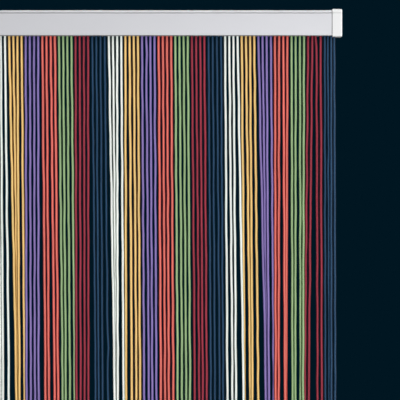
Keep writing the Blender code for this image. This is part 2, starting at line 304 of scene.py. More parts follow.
class CURTAIN_PG_cords(bpy.types.PropertyGroup):
    """Thickness, waves, braid and colours of the cords."""

    diameter: length_property("Diameter", "Thickness of a cord", CORD_DIAMETER)
    sides: IntProperty(name="Sides", description="Faces round a cord", default=8, min=6, max=16)
    sections: IntProperty(
        name="Sections", description="Rings along a cord", default=270, min=40, max=600
    )
    short_wave: length_property(
        "Short Waves", "How far the short waves move a cord aside", 0.3 * MM
    )
    girth_change: share_property("Girth Change", "How far a cord's girth goes up and down", 0.03)
    tone_change: share_property(
        "Tone Change", "How much lighter or darker one cord is than the next", 0.06
    )
    relief: length_property("Braid Relief", "Depth of the braid's grooves", 0.10 * MM)
    # Painted shade on the flanks that face the next cords
    flank_shade: share_property(
        "Flank Shade", "Share of light that a white cord loses beside its neighbours", 0.95
    )
    white: cord_colour("White", 242, 247, 241)
    yellow: cord_colour("Yellow", 235, 198, 128)
    purple: cord_colour("Purple", 138, 121, 180)
    orange: cord_colour("Red-orange", 222, 115, 104)
    green: cord_colour("Green", 152, 180, 133)
    crimson: cord_colour("Crimson", 151, 48, 66)
    navy: cord_colour("Navy", 22, 64, 95)


class CURTAIN_PG_rail(bpy.types.PropertyGroup):
    """Roundings and finish of the aluminium rail."""

    bead_radius: length_property(
        "Bead Radius", "Rounding of the bead along the top edge", 1.25 * MM
    )
    foot_radius: length_property("Foot Radius", "Rounding of the lower front edge", 1.0 * MM)
    edge_radius: length_property(
        "Edge Radius", "Rounding of every other edge of the section", 0.15 * MM
    )
    colour: colour_property("Colour", "Colour of the anodised metal", 198, 198, 202)
    metallic: share_property("Metallic", "How metallic the finish is", 0.25)
    line_depth: length_property("Die Lines", "Depth of the drawing lines", 0.01 * MM)
    # Painted shade in the groove and painted shadow on the rail beside the caps
    dust: share_property("Dust", "How far dust darkens the groove and the joints", 0.5)
    underside: share_property("Underside", "How far shade darkens the underside", 0.85)


class CURTAIN_PG_caps(bpy.types.PropertyGroup):
    """Walls, roundings and finish of the moulded end caps."""

    wall: length_property("End Wall", "Thickness of the end plate", 1.8 * MM)
    skirt: length_property("Skirt", "Thickness of the wall round the rail", 0.9 * MM)
    rounding: length_property("Rounding", "Rounding of the outer end", 1.8 * MM)
    edge_radius: length_property(
        "Edge Radius", "Rounding of the moulding's small edges", 0.16 * MM
    )
    colour: colour_property("Colour", "Colour of the plastic", 219, 219, 219)
    # Painted shade in the groove
    dust: share_property("Dust", "How far dust darkens the groove", 0.25)
    underside: share_property("Underside", "How far shade darkens the underside", 0.6)


class CURTAIN_PG_stage(bpy.types.PropertyGroup):
    """Floor, surroundings, lights and camera."""

    floor_drop: length_property(
        "Floor Drop", "Distance from the cords' ends down to the floor", 1 * MM
    )
    floor_radius: length_property("Floor Radius", "Size of the floor", 4.6)
    pale_radius: length_property("Pale Radius", "Where the floor starts to fade", 1.0)
    floor: colour_property("Floor", "Colour of the floor", 204, 203, 200)
    surround: colour_property("Surround", "Colour of the room around", 1, 22, 33)
    light: FloatProperty(name="Light", description="Strength of all lights", default=1.0, min=0.0)
    camera_distance: length_property("Camera Distance", "From the lens to the rail's back", 2.2)
    picture_width: length_property(
        "Picture Width", "Width of the curtain that the picture takes in", 0.43948
    )


# Meshes


def mesh_of(name, points, faces, corners=None):
    """A mesh from points (count, 3), and arrays of faces, each of them with as
    many columns as its faces have corners. Corners are the UV of each corner."""
    sizes = np.concatenate([np.full(len(part), part.shape[1]) for part in faces])
    order = np.concatenate([part.ravel() for part in faces])
    mesh = bpy.data.meshes.new(name)
    mesh.vertices.add(len(points))
    mesh.vertices.foreach_set("co", points.astype(np.float32).ravel())
    mesh.loops.add(len(order))
    mesh.loops.foreach_set("vertex_index", order.astype(np.int32))
    mesh.polygons.add(len(sizes))
    mesh.polygons.foreach_set("loop_start", (np.cumsum(sizes) - sizes).astype(np.int32))
    mesh.update(calc_edges=True)
    if corners is not None:
        layer = mesh.uv_layers.new(name="along")
        layer.uv.foreach_set("vector", corners.astype(np.float32).ravel())
    mesh.shade_smooth()
    mesh.set_sharp_from_angle(angle=np.radians(SHARP_ANGLE))
    return mesh


def add_object(name, data):
    made = bpy.data.objects.new(name, data)
    bpy.context.scene.collection.objects.link(made)
    return made


def add_piece(name, mesh, material, node):
    """A finished piece: it stands for its node, and rides on the one body. An
    error is raised where its box isn't the node's, but for FIT_MARGIN."""
    points = np.empty(3 * len(mesh.vertices), np.float32)
    mesh.vertices.foreach_get("co", points)
    points = points.reshape(-1, 3)
    misfit = np.abs(np.array([points.min(axis=0), points.max(axis=0)]) - np.array(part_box(node)))
    if misfit.max() > FIT_MARGIN:
        raise RuntimeError(f"{name} is {misfit.max() / MM:.1f} mm off its solid, {node}")
    piece = add_object(name, mesh)
    mesh.materials.clear()
    mesh.materials.append(material)
    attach(piece, BODY)
    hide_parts(node)


def tube_faces(rings, sides, first=0):
    """Quads between neighbouring rings of a closed section, and the two ends.
    The section runs anticlockwise seen from the first ring's side."""
    index = first + np.arange(rings * sides).reshape(rings, sides)
    turned = np.roll(index, -1, axis=1)
    walls = np.stack([index[:-1], index[1:], turned[1:], turned[:-1]], axis=-1)
    return walls.reshape(-1, 4), np.stack([index[0], index[-1, ::-1]])


def tube_corners(along, sides):
    """UV of the same faces: once round the section, and the distance along."""
    around = np.arange(sides + 1) / sides
    u0, v0 = np.meshgrid(around[:-1], along[:-1])
    u1, v1 = np.meshgrid(around[1:], along[1:])
    walls = np.stack([u0, v0, u0, v1, u1, v1, u1, v0], axis=-1).reshape(-1, 2)
    top = np.stack([around[:-1], np.full(sides, along[0])], axis=-1)
    foot = np.stack([around[-2::-1], np.full(sides, along[-1])], axis=-1)
    return walls, np.concatenate([top, foot])


def circle(sides):
    """Points round a circle of radius 1: cosine, sine and 0."""
    angle = 2 * np.pi * np.arange(sides) / sides
    return np.stack([np.cos(angle), np.sin(angle), 0 * angle], axis=-1)


def unit(vectors):
    return vectors / np.linalg.norm(vectors, axis=-1, keepdims=True)


def rounded_outline(corners, steps):
    """A closed outline whose corners are arcs. The rows of corners are y, z and
    radius. An arc's centre lies on the line that halves its corner, at radius /
    sin(half angle), and the arc turns about it from the foot on one side of the
    corner to the foot on the other."""
    points, radius = corners[:, :2], corners[:, 2:]
    back = unit(np.roll(points, 1, axis=0) - points)
    ahead = unit(np.roll(points, -1, axis=0) - points)
    half = np.arccos(np.clip((back * ahead).sum(axis=1), -1, 1))[:, None] / 2
    centre = points + unit(back + ahead) * radius / np.sin(half)
    start = unit(points + back * radius / np.tan(half) - centre)
    end = unit(points + ahead * radius / np.tan(half) - centre)
    angle = (np.pi - 2 * half)[:, None] * np.linspace(0, 1, steps + 1)[None, :, None]
    side = unit(end - start * (start * end).sum(axis=1, keepdims=True))
    arcs = start[:, None] * np.cos(angle) + side[:, None] * np.sin(angle)
    return (centre[:, None] + radius[:, None] * arcs).reshape(-1, 2)


def two_rings(outline, axis, first, last):
    """An outline set at two places along an axis from 0 to 2. Its two columns
    are the other two axes."""
    return np.stack([np.insert(outline, axis, place, axis=1) for place in (first, last)])


def prism(name, outline, axis, first, last):
    """A solid between two rings of an outline, which runs anticlockwise seen
    from the first ring's side."""
    rings = two_rings(outline, axis, first, last)
    return mesh_of(name, rings.reshape(-1, 3), list(tube_faces(2, len(outline))))


# Cords


def cord_top_places():
    """Where the cords leave the heading, from left to right. Their spacing is
    even but for the last gaps at each end, which the caps squeeze."""
    gaps = np.ones(CORDS - 1)
    gaps[:SQUEEZED_GAPS] = SQUEEZE
    gaps[-SQUEEZED_GAPS:] = SQUEEZE
    gaps *= 2 * (HALF_WIDTH - EDGE_TO_LAST_CORD) / gaps.sum()
    return np.concatenate([[0], np.cumsum(gaps)]) - HALF_WIDTH + EDGE_TO_LAST_CORD


def lean_rows(random):
    """The rows of LEANS for every band: the listed ones at the right, and the
    same rows in shuffled orders for the bands to their left."""
    orders = [random.permutation(len(LEANS)) for _ in range(BANDS // len(LEANS) + 1)]
    others = np.concatenate(orders)[: BANDS - len(LEANS)]
    return [LEANS[i] for i in others] + list(LEANS)


def keep_in_order(places):
    """Moves places right until neighbours are LEAST_STEP apart and every other
    cord is a clear distance apart. Each pass takes the running maximum of the
    places less the distance that they have to keep."""
    rules = ((0, 1, LEAST_STEP), (0, 2, CLEAR_DISTANCE), (1, 2, CLEAR_DISTANCE))
    for first, stride, step in rules * ORDER_ROUNDS:
        part = places[:, first::stride]
        spread = step * np.arange(part.shape[1])
        places[:, first::stride] = np.maximum.accumulate(part - spread, axis=1) + spread
    return places


def part_in_depth(places, depths, order):
    """Moves neighbours that overlap from the front apart in depth, until their
    centre lines are a clear distance apart. The one whose sign is - goes back,
    and of two with the same sign the right one does."""
    way = np.sign(order[1:] - order[:-1])
    way[way == 0] = 1
    across = places[:, 1:] - places[:, :-1]
    need = np.sqrt(np.maximum(CLEAR_DISTANCE**2 - across**2, 0))
    for _ in range(RELAX_ROUNDS):
        room = (depths[:, 1:] - depths[:, :-1]) * way
        short = np.where(need > 0, np.maximum(need - room, 0), 0) * way / 2
        depths[:, 1:] += short
        depths[:, :-1] -= short
    return depths


def cord_knots(levels):
    """The points at which the cords bend: x and y of every cord at each distance
    down, as two arrays of levels by cords. A cord leans away from its place at
    the top as tanh of the distance down, and wanders slowly further down."""
    random = np.random.default_rng(SEED)
    rows = lean_rows(random)
    leans = np.array([row[:CORDS_PER_BAND] for row in rows]).ravel() * MM
    signs = "".join(row.depth for row in rows)
    order = np.array([-1.0 if sign == "+" else 1.0 for sign in signs])
    down = np.array(levels)[:, None]
    growth = LEAN_LIMIT * np.tanh(LEAN_RATE * (down / LEAN_AT) ** LEAN_POWER)
    depth_growth = np.clip(down / LEAN_AT, 0, 1)
    fade = np.clip((down - WANDER_FROM) / (CORD_DROP - WANDER_FROM), 0, 1)
    blur = np.hanning(WANDER_SPREAD + 2)[1:-1]
    blur /= np.sqrt((blur**2).sum())
    wave_lengths = random.uniform(*WAVE_LENGTHS, CORDS)
    starts = random.uniform(0, 2 * np.pi, CORDS)
    swing = np.sin(2 * np.pi * down / wave_lengths + starts)
    swing = np.array([np.convolve(row, blur, mode="same") for row in swing])
    places = cord_top_places() + leans * growth + WANDER * fade * swing
    reach = HALF_WIDTH - CORD_DIAMETER / 2 - SEAT_GAP
    places = np.clip(keep_in_order(places), -reach, reach)
    depths = CORD_Y + SWAY * fade * np.roll(swing, CORDS // 3, axis=1)
    depths = depths + order * DEPTH_HINT * depth_growth
    return places, part_in_depth(places, depths, order)


def smooth_between(levels, knots, down):
    """Cubic curves through the knots at other distances down. The slope at a
    knot is the harmonic mean of the slopes on both sides of it, and none where
    these are of different signs, so no curve swings out past its knots."""
    secants = np.diff(knots, axis=0) / np.diff(levels)[:, None]
    above, below = secants[:-1], secants[1:]
    same_way = above * below > 0
    total = np.where(same_way, above + below, 1)
    inner = np.where(same_way, 2 * above * below / total, 0)
    slopes = np.concatenate([secants[:1], inner, secants[-1:]])
    start = np.searchsorted(levels, down, side="right") - 1
    start = np.clip(start, 0, len(levels) - 2)
    width = (levels[start + 1] - levels[start])[:, None]
    t = np.clip((down - levels[start])[:, None] / width, 0, 1)
    from_start = (1 + 2 * t) * (1 - t) ** 2
    lift = t * (1 - t) * width
    bend = lift * ((1 - t) * slopes[start] - t * slopes[start + 1])
    return knots[start] * from_start + knots[start + 1] * (1 - from_start) + bend


def short_waves(down, lengths, random):
    """Sums of sine waves, at most 1 high, as an array of levels by cords."""
    shares = np.array(WAVE_SHARES)[:, None, None]
    wave = random.uniform(*lengths, (len(WAVE_SHARES), 1, CORDS))
    start = random.uniform(0, 2 * np.pi, (len(WAVE_SHARES), 1, CORDS))
    return (shares * np.sin(2 * np.pi * down[:, None] / wave + start)).sum(axis=0)


def room_beside(places, depths, diameter):
    """How far each cord may move aside at each level without meeting another:
    half the space to the nearest of the two cords on either side."""
    nearest = np.full(places.shape, np.inf)
    for step in (1, 2):
        across = places[:, step:] - places[:, :-step]
        gaps = np.hypot(across, depths[:, step:] - depths[:, :-step])
        nearest[:, step:] = np.minimum(nearest[:, step:], gaps)
        nearest[:, :-step] = np.minimum(nearest[:, :-step], gaps)
    return np.maximum(nearest - diameter - ROOM_MARGIN, 0) / 2


def cord_lines(settings):
    """Centre lines of all cords: points as an array of levels by cords by 3. They
    are smooth curves through the knots with short waves on them, as high as
    the room between the cords allows, and with the listed kinks. One cord in
    the middle isn't cut short, so the curtain has its full drop."""
    levels = np.array((0.0, *BEND_LEVELS, CORD_DROP))
    places, depths = cord_knots(levels)
    ends = np.random.default_rng(SEED + 1).beta(*UNEVEN_SHAPE, CORDS) * UNEVEN_ENDS
    ends[CORDS // 2] = 0
    down = np.linspace(0, CORD_DROP, settings.sections)
    places = smooth_between(levels, places, down)
    depths = smooth_between(levels, depths, down)
    random = np.random.default_rng(SEED + 2)
    height = np.minimum(room_beside(places, depths, settings.diameter), settings.short_wave)
    height *= np.clip(down / WAVES_FROM, 0, 1)[:, None]
    places = places + height * short_waves(down, SHORT_WAVES, random)
    depths = depths + height * short_waves(down, SHORT_WAVES, random)
    for kink in KINKS:
        cord = (kink.band - 1) * CORDS_PER_BAND + kink.cord - 1
        away = (down - kink.down * MM) / (kink.spread * MM)
        places[:, cord] += kink.shift * MM * np.exp(-(away**2))
    full = CORD_DROP - ends - TIP_RINGS[-1].drop * MM
    heights = STRIP_BOTTOM - down[:, None] * full / CORD_DROP
    return np.stack([places, depths, heights], axis=-1)


def cord_surface(line, girth, settings):
    """One cord: level rings of a circle carried down its line, from inside the
    strip to a rounded cut end. Gives the rings, and the distance along at each."""
    top = line[:1] + (0, 0, ROOT_DEPTH)
    drops, shrink = np.array(TIP_RINGS).T
    tip = line[-1] - drops[:, None] * (0, 0, MM)
    line = np.concatenate([top, line, tip])
    girth = np.concatenate([girth[:1], girth, girth[-1] * shrink])
    radius = (girth * settings.diameter / 2)[:, None, None]
    rings = line[:, None] + circle(settings.sides) * radius
    return rings, (line[0, 2] - line[:, 2]) / settings.diameter


def strip_surface(low, high):
    """The heading strip: a rounded section carried along X."""
    corners = np.array([(low[1], low[2]), (high[1], low[2]), high[1:], (low[1], high[2])])
    rounding = np.full((len(corners), 1), STRIP_ROUNDING)
    outline = rounded_outline(np.hstack([corners, rounding]), STRIP_ARC_STEPS)
    rings = two_rings(outline, 0, high[0], low[0])
    return rings, np.array([0, high[0] - low[0]]) / CORD_DIAMETER


def strip_ends(tops):
    """Where the heading strips meet, from left to right: half way between the
    last cord of one band and the first of the next, and half a cord spacing
    outside the first and the last cord of all."""
    middles = (tops[1:] + tops[:-1]) / 2
    half_pitch = (tops[1] - tops[0]) / 2
    edges = np.concatenate([[tops[0] - half_pitch], middles, [tops[-1] + half_pitch]])
    return edges[::CORDS_PER_BAND]


def band_surfaces(band, lines, girths, settings):
    """The surfaces of one band: its four cords and its heading strip."""
    cords = np.arange(CORDS_PER_BAND) + band * CORDS_PER_BAND
    surfaces = [cord_surface(lines[:, i], girths[:, i], settings) for i in cords]
    left, right = strip_ends(lines[0, :, 0])[band : band + 2]
    low = (left + SEAT_GAP / 2, CORD_Y - STRIP_HALF_DEPTH, STRIP_BOTTOM)
    high = (right - SEAT_GAP / 2, CORD_Y + STRIP_HALF_DEPTH, STRIP_TOP)
    return [*surfaces, strip_surface(low, high)]


def band_mesh(name, surfaces, tones):
    """Joins tube surfaces into one mesh, and keeps each one's tone on it."""
    points, faces, corners, tone = [], [], [], []
    first = 0
    for (rings, along), own_tone in zip(surfaces, tones):
        count, sides = rings.shape[:2]
        points.append(rings.reshape(-1, 3))
        faces.extend(tube_faces(count, sides, first))
        corners.extend(tube_corners(along, sides))
        tone.append(np.full(count * sides, own_tone))
        first += count * sides
    mesh = mesh_of(name, np.concatenate(points), faces, np.concatenate(corners))
    layer = mesh.attributes.new("tone", "FLOAT", "POINT")
    layer.data.foreach_set("value", np.concatenate(tone).astype(np.float32))
    return mesh


# Materials


def fill(node, inputs):
    """Fills sockets of a node, or links them where the value is another socket."""
    for key, value in inputs.items():
        if isinstance(value, bpy.types.NodeSocket):
            node.id_data.links.new(value, node.inputs[key])
        else:
            node.inputs[key].default_value = value


def add_node(tree, kind, inputs=None, **values):
    """Adds a node. Values are its own settings, and inputs fill its sockets."""
    made = tree.nodes.new(kind)
    for key, value in values.items():
        setattr(made, key, value)
    fill(made, inputs or {})
    return made


def maths(tree, operation, first, second=0.0, third=0.0):
    inputs = {0: first, 1: second, 2: third}
    return add_node(tree, "ShaderNodeMath", inputs, operation=operation).outputs[0]


def scaled(tree, colour, strength):
    """The colour times a strength, which is a number or a socket."""
    inputs = {0: colour, "Scale": strength}
    return add_node(tree, "ShaderNodeVectorMath", inputs, operation="SCALE").outputs[0]


def ramp_between(tree, value, low, high, to_low=0.0, to_high=1.0):
    """The value carried from one range to another, and held at its ends."""
    inputs = {0: value, 1: low, 2: high, 3: to_low, 4: to_high}
    return add_node(tree, "ShaderNodeMapRange", inputs).outputs[0]


def noise(tree, place, scale, detail):
    """Smooth noise round 0.5 at each place."""
    inputs = {"Vector": place, "Scale": scale, "Detail": detail}
    return add_node(tree, "ShaderNodeTexNoise", inputs).outputs["Fac"]


def object_place(tree):
    return add_node(tree, "ShaderNodeTexCoord").outputs["Object"]


def placed_group(tree, name, make, inputs):
    """The outputs of a node group that materials share. It is made the first
    time that it is asked for."""
    group = bpy.data.node_groups.get(name) or make(name)
    return add_node(tree, "ShaderNodeGroup", inputs, node_tree=group).outputs


def new_group(name, inputs, outputs):
    """A node group, the sockets that it is given, and the node of its outputs.
    Inputs and outputs are the defaults by name."""
    group = bpy.data.node_groups.new(name, "ShaderNodeTree")
    for way, sockets in (("INPUT", inputs), ("OUTPUT", outputs)):
        for socket, default in sockets.items():
            kind = SOCKET_KINDS[np.size(default)]
            made = group.interface.new_socket(socket, in_out=way, socket_type=kind)
            made.default_value = default
    given = group.nodes.new("NodeGroupInput").outputs
    return group, given, group.nodes.new("NodeGroupOutput")


def braid_group(name):
    """Braided yarn. Two families of yarns run round the cord in opposite turns,
    and each crossing is a small hump: the product of the sines of both counts.
    The grooves between the humps get painted shade, and the colour drifts
    slowly. The flanks, where the sine of the way round is small, face the next
    cords. Painted shade is laid on them: the colour is raised to a power, which
    deepens it, a share is taken off, and they are dull."""
    inputs = {"Color": GREY, "Place": ORIGIN}
    inputs |= dict.fromkeys(("Around", "Along", "Tone", "Flank Shade"), 0.0)
    group, given, out = new_group(name, inputs, SURFACE)
    calc = partial(maths, group)
    turns = calc("MULTIPLY", given["Around"], CARRIERS * np.pi)
    climb = calc("MULTIPLY", given["Along"], 2 * np.pi / BRAID_LAY)
    right = calc("SINE", calc("ADD", turns, climb))
    left = calc("SINE", calc("SUBTRACT", turns, climb))
    hump = calc("ABSOLUTE", calc("MULTIPLY", right, left))
    fuzz = noise(group, given["Place"], FUZZ_SCALE, detail=2.0)
    drift = noise(group, given["Place"], YARN_DRIFT_SCALE, detail=2.0)
    height = calc("MULTIPLY_ADD", fuzz, FUZZ_HEIGHT, hump)
    # Painted shade in the grooves between the humps
    shade = ramp_between(group, hump, 0.0, GROOVE_END, BRAID_GROOVE_SHADE, 1.0)
    slow = ramp_between(group, drift, *NOISE_RANGE, *DRIFT_TONES)
    strength = calc("MULTIPLY", shade, slow)
    strength = calc("MULTIPLY", strength, calc("ADD", given["Tone"], 1.0))
    # Painted shade on the flanks: colour deepened, a share taken off, and duller
    outward = calc("SINE", calc("MULTIPLY", given["Around"], 2 * np.pi))
    beside = calc("SUBTRACT", 1.0, calc("ABSOLUTE", outward))
    flank = ramp_between(group, beside, FLANK_FROM, FLANK_TO)
    depth = calc("MULTIPLY_ADD", flank, FLANK_POWER - 1.0, 1.0)
    deep = add_node(group, "ShaderNodeGamma", {"Color": given["Color"], "Gamma": depth})
    shade_off = calc("MULTIPLY", flank, given["Flank Shade"])
    strength = calc("MULTIPLY", strength, calc("SUBTRACT", 1.0, shade_off))
    colour = scaled(group, deep.outputs["Color"], strength)
    rough = ramp_between(group, fuzz, *NOISE_RANGE, *YARN_ROUGHNESS)
    dull = calc("MULTIPLY_ADD", flank, FLANK_ROUGHNESS, rough)
    dull = calc("MINIMUM", dull, 1.0)
    fill(out, {"Color": colour, "Roughness": dull, "Height": height})
    return group


def grain_group(name):
    """Fine grain of a hard surface. Noise on stretched places gives the height,
    the roughness goes up and down with it, and the colour drifts slowly: it is
    multiplied by 1 and twice the noise's distance from 0.5 times the drift."""
    inputs = {"Color": GREY, "Place": ORIGIN, "Scale": 1000.0, "Drift": 0.03}
    inputs |= {"Smoothest": 0.35, "Roughest": 0.45}
    group, given, out = new_group(name, inputs, SURFACE)
    calc = partial(maths, group)
    grain = noise(group, given["Place"], given["Scale"], detail=3.0)
    slow = noise(group, given["Place"], HARD_DRIFT_SCALE, detail=3.0)
    change = calc("MULTIPLY", calc("SUBTRACT", slow, 0.5), given["Drift"])
    strength = calc("MULTIPLY_ADD", change, 2.0, 1.0)
    rough = ramp_between(group, grain, *NOISE_RANGE, given["Smoothest"], given["Roughest"])
    colour = scaled(group, given["Color"], strength)
    fill(out, {"Color": colour, "Roughness": rough, "Height": grain})
    return group


def new_material(name):
    """An empty material with its Principled shader: material, tree, shader."""
    material = bpy.data.materials.new(name)
    material.use_nodes = True
    return material, material.node_tree, material.node_tree.nodes["Principled BSDF"]


def wire_surface(tree, shader, surface, depth):
    """Colour, roughness and bump of a placed group into the shader."""
    inputs = {"Height": surface["Height"], "Distance": depth, "Strength": 1.0}
    normal = add_node(tree, "ShaderNodeBump", inputs).outputs["Normal"]
    colour, roughness = surface["Color"], surface["Roughness"]
    fill(shader, {"Base Color": colour, "Roughness": roughness, "Normal": normal})


def cord_material(name, settings):
    """Braided cord of one colour. The brighter the colour, the more painted shade
    its flanks get."""
    material, tree, shader = new_material("cord_" + name)
    uv = add_node(tree, "ShaderNodeUVMap", uv_map="along")
    split = add_node(tree, "ShaderNodeSeparateXYZ", {0: uv.outputs["UV"]})
    tone = add_node(tree, "ShaderNodeAttribute", attribute_name="tone")
    colour = tuple(getattr(settings, name))
    inputs = {
        "Color": (*colour, 1.0),
        "Around": split.outputs["X"],
        "Along": split.outputs["Y"],
        "Tone": tone.outputs["Fac"],
        "Place": object_place(tree),
        "Flank Shade": settings.flank_shade * float(np.dot(colour, LUMINANCE)),
    }
    yarn = placed_group(tree, "braided_yarn", braid_group, inputs)
    wire_surface(tree, shader, yarn, settings.relief)
    fill(shader, {"Specular IOR Level": 0.3})
    return material


def grained_material(name, colour, stretch, scale, smoothest, roughest, depth):
    """A hard material with fine grain, stretched by a factor along each axis."""
    material, tree, shader = new_material(name)
    mapping = {"Vector": object_place(tree), "Scale": stretch}
    inputs = {
        "Color": (*colour, 1.0),
        "Place": add_node(tree, "ShaderNodeMapping", mapping).outputs["Vector"],
        "Scale": scale,
        "Smoothest": smoothest,
        "Roughest": roughest,
    }
    wire_surface(tree, shader, placed_group(tree, "fine_grain", grain_group, inputs), depth)
    return material


def rail_material(settings):
    """Anodised aluminium with fine lines along the rail. Painted shade darkens
    the groove and the underside, and painted shadow the rail beside the caps."""
    material = grained_material(
        "anodised_rail",
        settings.colour,
        stretch=(0.01, 1, 1),
        scale=2500.0,
        smoothest=0.34,
        roughest=0.44,
        depth=settings.line_depth,
    )
    tree = material.node_tree
    fill(tree.nodes["Principled BSDF"], {"Metallic": settings.metallic})
    # Painted shade in the groove and on the underside
    place = add_groove_shade(tree, settings.dust)
    # Painted shadow of the caps on the rail beside them
    side = maths(tree, "ABSOLUTE", place.outputs["X"])
    cap_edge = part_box("end_cap_right")[0].x
    darken(tree, ramp_between(tree, side, cap_edge - JOINT_SHADE, cap_edge), settings.dust)
    shade_underside(tree, place, -RAIL_TOP, settings.underside)
    return material


def cap_material(settings):
    """White satin plastic, with a little painted shade in its groove. The
    underside has painted shade too."""
    material = grained_material(
        "moulded_cap",
        settings.colour,
        stretch=(1, 1, 1),
        scale=1800.0,
        smoothest=0.34,
        roughest=0.46,
        depth=0.01 * MM,
    )
    tree = material.node_tree
    # Painted shade in the groove and on the underside
    place = add_groove_shade(tree, settings.dust)
    shade_underside(tree, place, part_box("end_cap_right")[0].z, settings.underside)
    return material


def groove_shade_group(name):
    """Painted shade in the groove under the bead of the front. Where the height
    and the depth both lie in the groove, a share is taken off the colour."""
    inputs = {"Color": GREY, "Place": ORIGIN, "Share": 0.5}
    group, given, out = new_group(name, inputs, {"Color": GREY})
    calc = partial(maths, group)
    place = add_node(group, "ShaderNodeSeparateXYZ", {0: given["Place"]}).outputs
    above = ramp_between(group, place["Z"], GROOVE_FOOT - 2 * GROOVE_SHADE_BLUR, GROOVE_FOOT)
    below = ramp_between(group, place["Z"], GROOVE_TOP + GROOVE_SHADE_BLUR, GROOVE_TOP - GROOVE_SHADE_BLUR)
    front = ramp_between(group, place["Y"], CORD_Y, CHAMBER_FRONT)
    inside = calc("MULTIPLY", calc("MULTIPLY", above, below), front)
    strength = calc("SUBTRACT", 1.0, calc("MULTIPLY", inside, given["Share"]))
    fill(out, {"Color": scaled(group, given["Color"], strength)})
    return group


def add_groove_shade(tree, share):
    """Paints shade into the groove of a material. Gives the place on the surface."""
    target = tree.nodes["Principled BSDF"].inputs["Base Color"]
    place = object_place(tree)
    inputs = {"Color": target.links[0].from_socket, "Place": place, "Share": share}
    dusty = placed_group(tree, "groove_dust", groove_shade_group, inputs)
    tree.links.new(dusty["Color"], target)
    return add_node(tree, "ShaderNodeSeparateXYZ", {0: place})


def darken(tree, mask, share):
    """Takes a share off the material's base colour where the mask is 1."""
    target = tree.nodes["Principled BSDF"].inputs["Base Color"]
    source = target.links[0].from_socket
    strength = maths(tree, "MULTIPLY_ADD", mask, -share, 1.0)
    tree.links.new(scaled(tree, source, strength), target)


def shade_underside(tree, place, foot, share):
    """Shades the lowest part of a material that ends below at the foot."""
    mask = ramp_between(tree, place.outputs["Z"], foot + UNDERSIDE_SHADE, foot)
    darken(tree, mask, share)


# Rail and caps


def rail_corners(settings):
    """The rail's section, anticlockwise seen from +X: y, z and rounding. It
    runs from the top of the back over the bead, down the front with its groove,
    into the slot and round the chamber, and out again to the foot of the back."""
    top, front = RAIL_TOP, RAIL_FRONT
    slope = GROOVE_WIDTH / 4
    edge, fine = settings.edge_radius, settings.edge_radius / 2
    return np.array(
        [
            (0, top, edge),
            (front, top, settings.bead_radius),
            (front, GROOVE_TOP, edge),
            (front + GROOVE_DEPTH, GROOVE_TOP - slope, fine),
            (front + GROOVE_DEPTH, GROOVE_FOOT + slope, fine),
            (front, GROOVE_FOOT, edge),
            (front, -top, settings.foot_radius),
            (SLOT_FRONT, -top, edge),
            (SLOT_FRONT, -CHAMBER_TOP, edge),
            (CHAMBER_FRONT, -CHAMBER_TOP, edge),
            (CHAMBER_FRONT, CHAMBER_TOP, edge),
            (-RAIL_WALL, CHAMBER_TOP, edge),
            (-RAIL_WALL, -CHAMBER_TOP, edge),
            (SLOT_BACK, -CHAMBER_TOP, edge),
            (SLOT_BACK, -top, edge),
            (0, -top, edge),
        ]
    )


def keyhole_mesh(name, x):
    """A cutter: the outline of a round hole with a narrower slot above it, as
    two arcs, carried through the rail's back wall."""
    lean = np.arcsin(KEYHOLE_SLOT_RADIUS / KEYHOLE_RADIUS)
    round_way = np.linspace(np.pi / 2 + lean, 5 * np.pi / 2 - lean, KEYHOLE_STEPS)
    slot_way = np.linspace(0, np.pi, KEYHOLE_STEPS // 2)
    hole = KEYHOLE_RADIUS * np.stack([np.cos(round_way), np.sin(round_way)], axis=-1)
    slot = KEYHOLE_SLOT_RADIUS * np.stack([np.cos(slot_way), np.sin(slot_way)], axis=-1)
    outline = np.concatenate([hole, slot + (0, KEYHOLE_SLOT_RISE)]) + (x, 0)
    return prism(name, outline, 1, -2 * RAIL_WALL, RAIL_WALL)


def block_mesh(name, low, high):
    """A plain block between two corners, whichever way round they are given."""
    low, high = np.minimum(low, high), np.maximum(low, high)
    corner = np.array([(0, 0), (1, 0), (1, 1), (0, 1)])
    return prism(name, low[:2] + corner * (high - low)[:2], 2, high[2], low[2])


def with_modifiers(name, mesh, helpers, edge_radius=0.0):
    """The mesh after its helpers are cut out or joined on, and after its sharp
    edges are rounded. Helpers are (operation, mesh) pairs, and are used up."""
    objects = [add_object(name, mesh)]
    for operation, helper in helpers:
        objects.append(add_object(helper.name, helper))
        modifier = objects[0].modifiers.new(helper.name, "BOOLEAN")
        modifier.operation = operation
        modifier.solver = "EXACT"
        modifier.object = objects[-1]
    if edge_radius:
        bevel = objects[0].modifiers.new("edges", "BEVEL")
        bevel.width = edge_radius
        bevel.segments = EDGE_STEPS
        bevel.limit_method = "ANGLE"
        bevel.angle_limit = np.radians(SHARP_ANGLE)
    weighted = objects[0].modifiers.new("flat faces stay flat", "WEIGHTED_NORMAL")
    weighted.keep_sharp = True
    graph = bpy.context.evaluated_depsgraph_get()
    made = bpy.data.meshes.new_from_object(objects[0].evaluated_get(graph))
    for obj in objects:
        bpy.data.meshes.remove(obj.data)
    made.name = name
    return made


def cap_block(name, side, settings):
    """The cap's outer block. Its outer end is rounded at the front, top and
    bottom."""
    low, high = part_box("end_cap_right")
    outer, inner = side * high.x, side * low.x
    mesh = block_mesh(name, (inner, low.y, low.z), (outer, 0, high.z))
    bm = bmesh.new()
    bm.from_mesh(mesh)
    edges = [
        edge
        for edge in bm.edges
        if all(abs(vert.co.x - outer) < SEAT_GAP for vert in edge.verts)
        and not all(abs(vert.co.y) < SEAT_GAP for vert in edge.verts)
    ]
    radius = settings.rounding
    bmesh.ops.bevel(
        bm, geom=edges, offset=radius, segments=ARC_STEPS, profile=0.5, affect="EDGES"
    )
    bm.to_mesh(mesh)
    bm.free()
    return mesh


